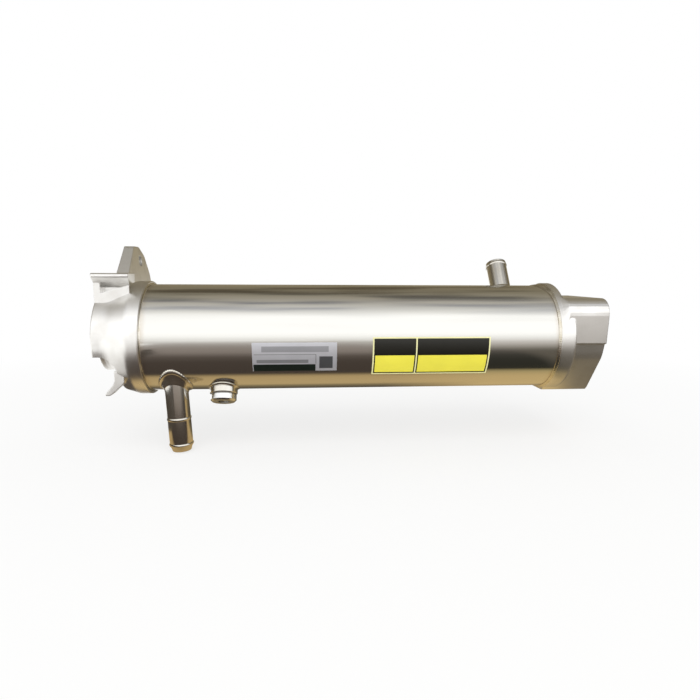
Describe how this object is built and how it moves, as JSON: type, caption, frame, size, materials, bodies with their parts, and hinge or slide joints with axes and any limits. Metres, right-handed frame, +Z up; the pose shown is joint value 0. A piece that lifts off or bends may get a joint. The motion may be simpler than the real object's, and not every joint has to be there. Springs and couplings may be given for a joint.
{
  "type": "egr cooler",
  "caption": "Shell-and-tube exhaust gas cooler: a polished round shell between cast gas flanges, with beaded coolant spigots, a vent plug, a bracket ear and blank labels.",
  "frame": {"origin": "centre of the gas inlet port, on the inlet flange's face", "axes": "+X along the shell from the gas inlet to the gas outlet, +Y away from the side with the labels, +Z up, on the side of the bracket ear"},
  "size_m": [0.413, 0.1169, 0.1678],
  "materials": {
    "shell_steel": "bright polished",
    "cast_steel": "satin",
    "spigot_steel": "bright drawn",
    "core_steel": "mill",
    "plug_steel": "bright zinc plated",
    "washer_metal": "dull",
    "silver_label": "satin film",
    "yellow_label": "gloss film"
  },
  "bodies": {
    "root": {"shell": "shell_steel", "inlet_casting": "cast_steel", "outlet_casting": "cast_steel", "front_tube_plate": "core_steel", "rear_tube_plate": "core_steel", "baffle_1": "core_steel", "baffle_2": "core_steel", "baffle_3": "core_steel", "baffle_4": "core_steel", "gas_tube_01": "core_steel", "gas_tube_02": "core_steel", "gas_tube_03": "core_steel", "gas_tube_04": "core_steel", "gas_tube_05": "core_steel", "gas_tube_06": "core_steel", "gas_tube_07": "core_steel", "gas_tube_08": "core_steel", "gas_tube_09": "core_steel", "gas_tube_10": "core_steel", "gas_tube_11": "core_steel", "gas_tube_12": "core_steel", "gas_tube_13": "core_steel", "gas_tube_14": "core_steel", "gas_tube_15": "core_steel", "gas_tube_16": "core_steel", "gas_tube_17": "core_steel", "gas_tube_18": "core_steel", "gas_tube_19": "core_steel", "gas_tube_20": "core_steel", "gas_tube_21": "core_steel", "gas_tube_22": "core_steel", "gas_tube_23": "core_steel", "gas_tube_24": "core_steel", "gas_tube_25": "core_steel", "gas_tube_26": "core_steel", "gas_tube_27": "core_steel", "gas_tube_28": "core_steel", "gas_tube_29": "core_steel", "gas_tube_30": "core_steel", "gas_tube_31": "core_steel", "gas_tube_32": "core_steel", "gas_tube_33": "core_steel", "gas_tube_34": "core_steel", "gas_tube_35": "core_steel", "gas_tube_36": "core_steel", "gas_tube_37": "core_steel", "coolant_inlet_pipe": "spigot_steel", "coolant_outlet_pipe": "spigot_steel", "vent_boss": "spigot_steel", "vent_washer": "washer_metal", "vent_plug": "plug_steel", "data_label": "silver_label", "two_tone_label": "yellow_label"}
  },
  "joints": []
}
